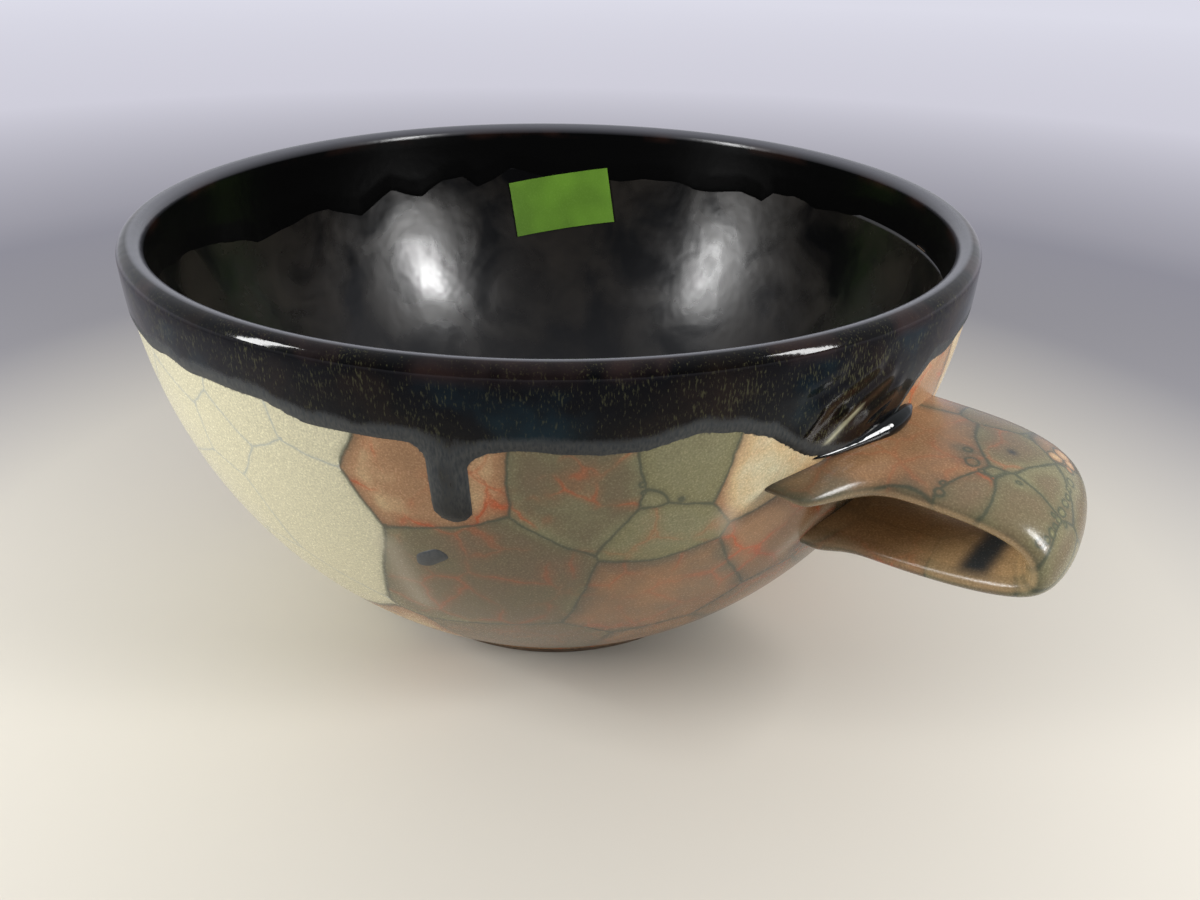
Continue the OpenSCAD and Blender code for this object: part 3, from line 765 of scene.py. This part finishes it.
def strap_line(turn, coat, steps):
    """One line along the strap's surface, at a turn round its section, trimmed by the wall."""
    across = math.copysign(abs(math.cos(turn)) ** squareness, math.cos(turn))
    up = math.copysign(abs(math.sin(turn)) ** squareness, math.sin(turn))
    line = []
    for path, low in ((upper_path, False), (lower_path, True)):
        for i in range(1, half_steps + wall_steps) if low else range(-wall_steps, half_steps):
            u = i / half_steps
            inside_wall = max(u - 1, 0) if low else min(u, 0)
            u = min(max(u, 0), 1)
            spot = ((1 - u) ** 3 * path[0] + 3 * (1 - u) ** 2 * u * path[1]
                    + 3 * (1 - u) * u ** 2 * path[2] + u ** 3 * path[3])
            ahead = ((1 - u) ** 2 * (path[1] - path[0]) + 2 * (1 - u) * u * (path[2] - path[1])
                     + u ** 2 * (path[3] - path[2]))
            ahead = ahead / np.linalg.norm(ahead)
            spot = spot + ahead * inside_wall * wall_run
            near = math.exp(-(np.linalg.norm(spot - nose) / (strap_reach / 2)) ** 2)
            base = path[-1 if low else 0]
            off_base = max(spot[0] - base[0], 0)
            fade = math.exp(-(off_base / spread_fade) ** 2)
            plain = lower_strap_w if low else strap_w
            spread = fade * (root_spread if low else (tail_spread if across < 0 else 0))
            smear = max(-across, 0) ** (toe_point if low else tail_point)
            smear *= math.exp(-(off_base / smear_fade) ** 2)
            wide = ((plain - (plain - nose_w) * near) / 2 + spread + coat) * across
            wide -= smear * (toe_reach if low else tail_reach)
            thick = strap_t / 2 + (fade * root_spread / 2 if low else 0) + coat
            ease = u * u * (3 - 2 * u)
            side = lower_side * ease if low else upper_side * (1 - ease)
            mid = spot + thick * up * np.array([-ahead[1], ahead[0]])
            line.append((mid[0] - wide * math.sin(nose_turn) * near, side + wide, mid[1]))
    line = np.array(line)
    sunk = np.hypot(line[:, 0], line[:, 1]) < outer_r(line[:, 2]) + end_gap
    middle = len(line) // 2
    start = np.nonzero(sunk[:middle])[0].max()
    end = middle + np.nonzero(sunk[middle:])[0].min()
    line = line[start:end + 1]
    run = np.concatenate([[0], np.cumsum(np.linalg.norm(np.diff(line, axis=0), axis=1))])
    return np.stack([np.interp(np.linspace(0, run[-1], steps), run, line[:, k])
                     for k in range(3)], 1)


strap_sides, strap_steps = 112, 170
strap_rings = np.stack([strap_line(2 * math.pi * k / strap_sides, coat_t, strap_steps)
                        for k in range(strap_sides)], 1)
# The glaze runs thin on the strap's narrow sides and inside the loop, and painted light lies there
# too.
edge_thin, loop_thin = 0.5, 0.8
turns = 2 * np.pi * np.arange(strap_sides) / strap_sides
narrow = (np.abs(np.cos(turns)) > 0.9) * np.clip((0.1 - np.sin(turns)) / 0.12, 0, 1)
inner = np.clip((-np.sin(turns) - 0.2) / 0.3, 0, 1)
thin = np.tile(np.maximum(edge_thin * narrow, loop_thin * inner), (len(strap_rings), 1))
# A slate stripe crosses the inside of the loop.
stripe_x, stripe_y, stripe_top, stripe_lean, stripe_w = 90.2, -9.3, 47, 0.05, 2.4
x, y, z = np.moveaxis(strap_rings, 2, 0)
dark = x - stripe_lean * (y - stripe_y) - stripe_x
dark = np.exp(-(dark / stripe_w) ** 4) * inner * (z < stripe_top)
# A dark spot sits in the round cell on top.
spot_place, spot_r = (88.2, 0.0, 57.0), 0.75
dark += np.exp(-(np.linalg.norm(strap_rings - spot_place, axis=2) / spot_r) ** 2)
# Painted shade darkens the crease where the smeared tail meets the wall.
crease_w, crease_shade, tail_y, tail_z = 0.7, 0.6, -12, 48
off_wall = np.hypot(x, y) - outer_r(z)
dark += crease_shade * np.exp(-((off_wall - coat_t) / crease_w) ** 2) * (y < tail_y) * (z > tail_z)
handle = pull("handle_coat", strap_rings, thin=thin, pooled=dark)

# Cells on the strap: place, how far the cell swells, its tint and its veins
strap_cells = [
    (75, -6, 57.3, 5.6, 0.38, 0.3), (87.1, 0.8, 57.1, 0, 0.6, 0.4),
    (88.3, -11.8, 56, -2.4, 0.55, 0.8), (94.2, -9.9, 54.7, -0.3, 0.58, 0),
    (95, -2, 54.9, -1, 0.62, 0), (98.5, 3, 50.5, 0.2, 0.64, 0),
    (99.8, -7.8, 49.9, -2.4, 0.66, 0),
    (91.5, 9.5, 55, -1.5, 0.4, 0), (82, 11, 56.5, 0, 0.6, 0), (72, 10, 57, 1, 0.4, 0.5),
    (80, -17, 53, -3.6, 0.5, 0.3), (92, 13, 51, 0, 0.6, 0), (99, -4, 43, 0, 0.7, 0),
    (97, 9, 43, 0, 0.6, 0), (90, -3, 37.5, 1, 0.55, 0.5), (82, -6, 35, 1, 0.5, 0.5),
    (82, 9, 36, 0, 0.45, 0.5), (75, 0, 35, 0, 0.4, 0.5), (88, -12, 42, 0, 0.6, 0),
    (80, 0, 43, 1, 0.55, 0.4), (80, -12, 41, 0, 0.5, 0.6), (90, 4, 45.5, 0, 0.6, 0),
    (80, 9, 43, 0, 0.5, 0.3), (80, 0, 51, 1, 0.6, 0), (88, 8, 50.5, 0, 0.65, 0),
    (88, -8, 50.5, 0, 0.6, 0), (74, -12, 50, 0, 0.5, 0), (73, 10, 51, 0, 0.5, 0)]
strap_bubbles = [
    (85.1, -6.9, 57.1, 0.95, 0.55), (84.6, -14.6, 55.5, 0.6, 0.48), (84.1, -13.0, 56.0, 0.4, 0.5),
    (92.4, 6, 55.3, 1.35, 0.14), (92.6, 8.6, 54.9, 1.6, 0.16), (94.1, 7.6, 54.1, 1.2, 0.17),
    (94.7, 5.8, 54.2, 0.75, 0.18), (95.9, 2.8, 53.9, 0.7, 0.7), (96.4, 0.8, 53.7, 0.5, 0.8),
    (96.9, -0.9, 53.6, 0.45, 0.8), (97.1, -2.4, 53.5, 0.6, 0.8), (97.5, -4.5, 53.3, 0.7, 0.85),
    (97.7, -6.3, 53, 0.6, 0.85), (97.9, -7.9, 52.7, 0.5, 0.8), (98, -9.3, 52.4, 0.65, 0.85),
    (97.9, -10.8, 52.1, 0.5, 0.7), (97.5, -12.1, 52, 0.6, 0.45), (98.6, -5.6, 52.2, 0.35, 0.85),
    (97.0, -6.6, 53.6, 0.35, 0.8), (88.9, -8.3, 56.7, 0.4, 0.5), (87.0, -8.0, 56.9, 0.45, 0.5),
    (83.6, -4.4, 57.3, 0.5, 0.5), (91.5, -6.3, 56.3, 0.35, 0.7)]
lay_cells(handle, strap_cells, strap_bubbles)
note(handle, "depth", np.full(len(handle.data.vertices), far_out * mm))
dress(handle, bubble_glaze)
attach(handle, "root")
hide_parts("handle_glaze")

# Glaze pooled in the crease over the handle: one thick black bead, fat in the middle and drawn
# out to a point at both ends.
bead_steps, bead_sides = 48, 20
bead_left_y, bead_w, bead_left_z, bead_climb, bead_sag = -21.8, 21.2, 57.5, 1.9, 0.5
# It is a thin thread on the left and swells to a fat drop on the right, with a round end.
thread_fat, thread_swing, thread_curve = 0.8, 0.8, 0.7
drop_fat, drop_share, drop_w_share = 1.0, 0.74, 0.24
tip_fat, end_share, bead_off_wall, bead_stretch = 0.05, 0.12, 0.5, 1.1
bead_rings = []
for i in range(bead_steps + 1):
    share = i / bead_steps
    y = bead_left_y + bead_w * share
    rise = bead_left_z + bead_climb * share - bead_sag * math.sin(math.pi * share)
    fat = thread_fat * math.sin(math.pi * share * thread_swing) ** thread_curve
    fat += drop_fat * math.exp(-((share - drop_share) / drop_w_share) ** 2)
    fat = tip_fat + fat * math.sqrt(min((1 - share) / end_share, 1))
    r = float(outer_r(np.array([rise]))[0]) + bead_off_wall
    spot = np.array([math.sqrt(r * r - y * y), y, rise])
    out = np.array([spot[0], spot[1], 0]) / r
    swings = [2 * math.pi * k / bead_sides for k in range(bead_sides)]
    bead_rings.append([spot + fat * (math.cos(t) * out * bead_stretch
                                     + math.sin(t) * np.array([0, 0, 1])) for t in swings])
bead = pull("crease_bead", bead_rings)
# Pooled glaze is deep and wet: the sharpest shine on the bowl, over ripples of 2.5 mm.
pooled_black, tree, shader, place = finish("pooled_black_glaze", Base_Color=linear("#0b0e0e"),
                                           Roughness=0.05, IOR=1.5, Specular_IOR_Level=0.3)
ripple = node(tree, "TexNoise", {"Vector": place, "Scale": 1 / (2.5 * mm), "Detail": 1})
tree.links.new(node(tree, "Bump", {"Height": ripple, "Strength": 0.5, "Distance": 0.2 * mm}),
               shader.inputs["Normal"])
dress(bead, pooled_black)
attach(bead, "root")
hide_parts("crease_glaze")

# A splash of the dark glaze that fell on the outer coat below the run while both were wet. It is a
# flat drop with a soft edge, and was fired on with the coat.
splash_angle, splash_z, splash_w, splash_h, splash_t = -60.9, 43.7, 2.5, 1.85, 0.35
bpy.ops.object.select_all(action="DESELECT")
bpy.ops.mesh.primitive_uv_sphere_add(segments=32, ring_count=16, radius=mm)
splash = bpy.context.object
splash.name = "glaze_splash_drop"
drop = points_of(splash)
swing = np.arctan2(drop[:, 1], drop[:, 0])
# Its outline is uneven and leans up to the right.
aside = drop[:, 0] * (splash_w + 0.25 * np.cos(3 * swing)) + 0.3 * drop[:, 1]
rise = splash_z + drop[:, 1] * (splash_h + 0.3 * np.sin(2 * swing)) + drop[:, 0] * 0.7
sunk = 0.05
reach = outer_r(rise) + coat_t - sunk + splash_t * drop[:, 2]
turn = math.radians(splash_angle) + aside / reach
settle(splash, np.stack([reach * np.cos(turn), reach * np.sin(turn), rise], 1))
bpy.ops.object.shade_smooth()
# The glaze is so thin here that it dried matte, to a slate with mottles of 0.5 mm.
splash_slate, tree, shader, place = finish("matte_slate_glaze", Roughness=0.5)
mottle = node(tree, "TexNoise", {"Vector": place, "Scale": 1 / (0.5 * mm), "Detail": 2})
tree.links.new(node(tree, "ValToRGB", {0: mottle}, stops=[(0.35, "#33383a"), (0.65, "#45484a")]),
               shader.inputs["Base Color"])
dress(splash, splash_slate)
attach(splash, "root")
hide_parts("glaze_splash")

# A blank label of thin green paper with glue on its back. It is stuck to the inside wall below the
# rim, a little crooked.
label_w, label_h, label_t, label_angle, label_z = 25.0, 13.0, 0.2, 132.9, 57.5
label_tilt = math.radians(-9)
bpy.ops.object.select_all(action="DESELECT")
bpy.ops.mesh.primitive_grid_add(x_subdivisions=50, y_subdivisions=26, size=2 * mm)
label = bpy.context.object
label.name = "green_label"
flat = points_of(label)
along, up = flat[:, 0] * label_w / 2, flat[:, 1] * label_h / 2
aside = along * math.cos(label_tilt) - up * math.sin(label_tilt)
rise = label_z + along * math.sin(label_tilt) + up * math.cos(label_tilt)
# It lies on the band, and its corners have come loose a little.
label_off, corner_lift, corner_share = 0.85, 0.15, 1.75
lift = corner_lift * np.clip(np.abs(flat[:, 0]) + np.abs(flat[:, 1]) - corner_share, 0, 1)
reach = inner_curve_x + np.sqrt((inner_curve_r - label_off - lift) ** 2 - (wall_top - rise) ** 2)
turn = math.radians(label_angle) + aside / reach
settle(label, np.stack([reach * np.cos(turn), reach * np.sin(turn), rise], 1))
bpy.ops.object.modifier_add(type="SOLIDIFY")
label.modifiers["Solidify"].thickness = label_t * mm
label.modifiers["Solidify"].offset = 1
bpy.ops.object.modifier_apply(modifier="Solidify")
bpy.ops.object.mode_set(mode="EDIT")
bpy.ops.mesh.select_all(action="SELECT")
bpy.ops.mesh.normals_make_consistent(inside=False)
bpy.ops.object.mode_set(mode="OBJECT")
green_paper, tree, shader, place = finish("green_label_paper", Roughness=0.6,
                                          Specular_IOR_Level=0.35)
# Dull paper: its fibre shows at 0.4 mm, and its tint drifts over 8 mm.
fibre = node(tree, "TexNoise", {"Vector": place, "Scale": 1 / (0.4 * mm), "Detail": 3})
drift = node(tree, "TexNoise", {"Vector": place, "Scale": 1 / (8 * mm), "Detail": 1})
green = node(tree, "ValToRGB", {0: drift}, stops=[(0.35, "#557c1c"), (0.65, "#608b22")])
tree.links.new(node(tree, "Mix", {0: node(tree, "MapRange", {"Value": fibre, "From Min": 0.5,
                                                             "From Max": 0.75, "To Max": 0.2}),
                                  6: green, 7: linear("#7fa548")}, out=2, data_type="RGBA"),
               shader.inputs["Base Color"])
tree.links.new(node(tree, "Bump", {"Height": fibre, "Strength": 0.3, "Distance": 0.03 * mm}),
               shader.inputs["Normal"])
dress(label, green_paper)
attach(label, "root")
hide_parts("paper_label")
